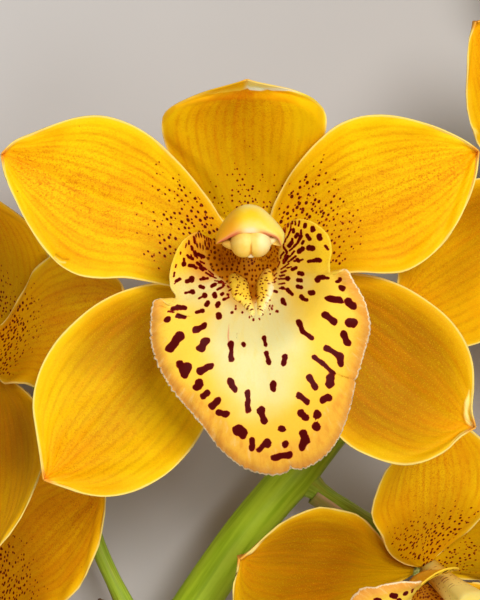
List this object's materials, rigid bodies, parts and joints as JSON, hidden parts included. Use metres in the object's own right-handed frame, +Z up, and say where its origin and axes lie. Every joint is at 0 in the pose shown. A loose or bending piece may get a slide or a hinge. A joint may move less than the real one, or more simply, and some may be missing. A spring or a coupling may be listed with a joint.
{
  "type": "cymbidium orchid stem",
  "caption": "Cut cymbidium orchid stem lying on its side: a green scape with open yellow blooms, spotted lips and buds at the tip.",
  "frame": {"origin": "on the surface the stem lies on, under the middle of its bounding box", "axes": "+X along the scape from its cut end to its tip, +Z up out of the front bloom's face, +Y to the scape's left seen from above"},
  "size_m": [0.5572, 0.2286, 0.0972],
  "materials": {
    "tepal_yellow": "waxy golden yellow sepal and petal tissue with fine orange veins",
    "lip_yellow": "pale yellow to cream lip tissue with maroon spots",
    "column_yellow": "smooth yellow column tissue",
    "anther_cream": "smooth cream anther cap",
    "stem_green": "satin green scape",
    "stalk_green": "satin yellow-green flower stalk",
    "bract_tan": "thin dry papery scale",
    "bud_green_yellow": "satin greenish yellow bud"
  },
  "bodies": {
    "root": {"scape": "stem_green", "sheath": "bract_tan", "front_bloom_dorsal_sepal": "tepal_yellow", "front_bloom_petal_left": "tepal_yellow", "front_bloom_petal_right": "tepal_yellow", "front_bloom_lateral_sepal_left": "tepal_yellow", "front_bloom_lateral_sepal_right": "tepal_yellow", "front_bloom_lip": "lip_yellow", "front_bloom_column": "column_yellow", "front_bloom_anther_cap": "anther_cream", "front_bloom_stalk": "stalk_green", "front_bloom_bract": "bract_tan", "bloom_1_dorsal_sepal": "tepal_yellow", "bloom_1_petal_left": "tepal_yellow", "bloom_1_petal_right": "tepal_yellow", "bloom_1_lateral_sepal_left": "tepal_yellow", "bloom_1_lateral_sepal_right": "tepal_yellow", "bloom_1_lip": "lip_yellow", "bloom_1_column": "column_yellow", "bloom_1_stalk": "stalk_green", "bloom_1_bract": "bract_tan", "bloom_2_dorsal_sepal": "tepal_yellow", "bloom_2_petal_left": "tepal_yellow", "bloom_2_petal_right": "tepal_yellow", "bloom_2_lateral_sepal_left": "tepal_yellow", "bloom_2_lateral_sepal_right": "tepal_yellow", "bloom_2_lip": "lip_yellow", "bloom_2_column": "column_yellow", "bloom_2_stalk": "stalk_green", "bloom_2_bract": "bract_tan", "bloom_3_dorsal_sepal": "tepal_yellow", "bloom_3_petal_left": "tepal_yellow", "bloom_3_petal_right": "tepal_yellow", "bloom_3_lateral_sepal_left": "tepal_yellow", "bloom_3_lateral_sepal_right": "tepal_yellow", "bloom_3_lip": "lip_yellow", "bloom_3_column": "column_yellow", "bloom_3_stalk": "stalk_green", "bloom_3_bract": "bract_tan", "bloom_4_dorsal_sepal": "tepal_yellow", "bloom_4_petal_left": "tepal_yellow", "bloom_4_petal_right": "tepal_yellow", "bloom_4_lateral_sepal_left": "tepal_yellow", "bloom_4_lateral_sepal_right": "tepal_yellow", "bloom_4_lip": "lip_yellow", "bloom_4_column": "column_yellow", "bloom_4_stalk": "stalk_green", "bloom_4_bract": "bract_tan", "bloom_5_dorsal_sepal": "tepal_yellow", "bloom_5_petal_left": "tepal_yellow", "bloom_5_petal_right": "tepal_yellow", "bloom_5_lateral_sepal_left": "tepal_yellow", "bloom_5_lateral_sepal_right": "tepal_yellow", "bloom_5_lip": "lip_yellow", "bloom_5_column": "column_yellow", "bloom_5_stalk": "stalk_green", "bloom_5_bract": "bract_tan", "bud_1": "bud_green_yellow", "bud_2": "bud_green_yellow", "bud_3": "bud_green_yellow"}
  },
  "joints": []
}
